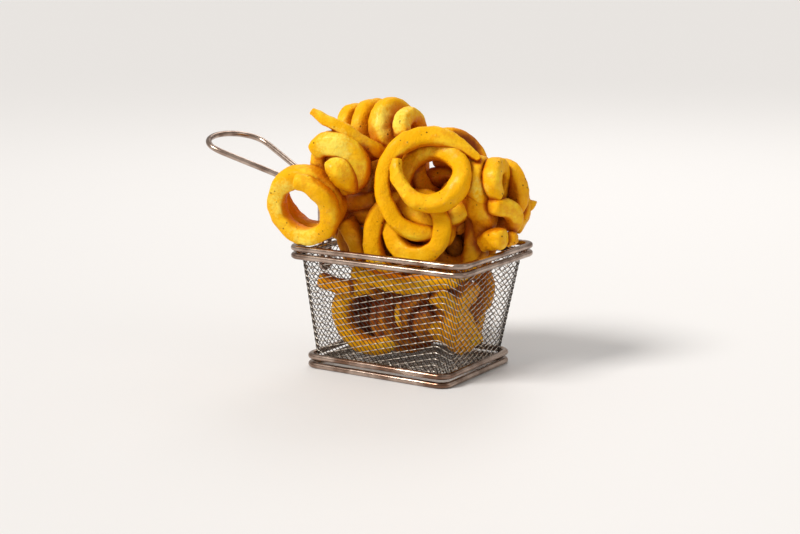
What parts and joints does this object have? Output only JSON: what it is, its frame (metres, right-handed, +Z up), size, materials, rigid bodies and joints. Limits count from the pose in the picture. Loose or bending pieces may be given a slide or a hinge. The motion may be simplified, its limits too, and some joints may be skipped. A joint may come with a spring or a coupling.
{
  "type": "curly fries portion in a mini serving basket",
  "caption": "Portion of curly fries heaped high in a small rectangular wire-mesh serving basket with doubled rims and a long loop handle.",
  "frame": {"origin": "bottom centre of the bounding box, on the surface the basket stands on", "axes": "+Z up, +X along the basket's long side away from the handle, -Y towards the long side that faces the picture's viewer"},
  "size_m": [0.1878, 0.089, 0.14],
  "materials": {
    "fried_potato": "golden fried batter, slightly glossy with oil, orange-brown in the hollows and at a few crusty ends, with fine dark specks of seasoning",
    "steel_wire": "polished stainless steel wire with a faint warm tint",
    "steel_mesh": "fine woven stainless steel wire"
  },
  "bodies": {
    "root": {"curly_fries": "fried_potato", "handle": "steel_wire", "rim_top_upper": "steel_wire", "rim_top_lower": "steel_wire", "rim_base_upper": "steel_wire", "rim_base_lower": "steel_wire", "mesh_front": "steel_mesh", "mesh_back": "steel_mesh", "mesh_left": "steel_mesh", "mesh_right": "steel_mesh", "mesh_floor": "steel_mesh"}
  },
  "joints": []
}
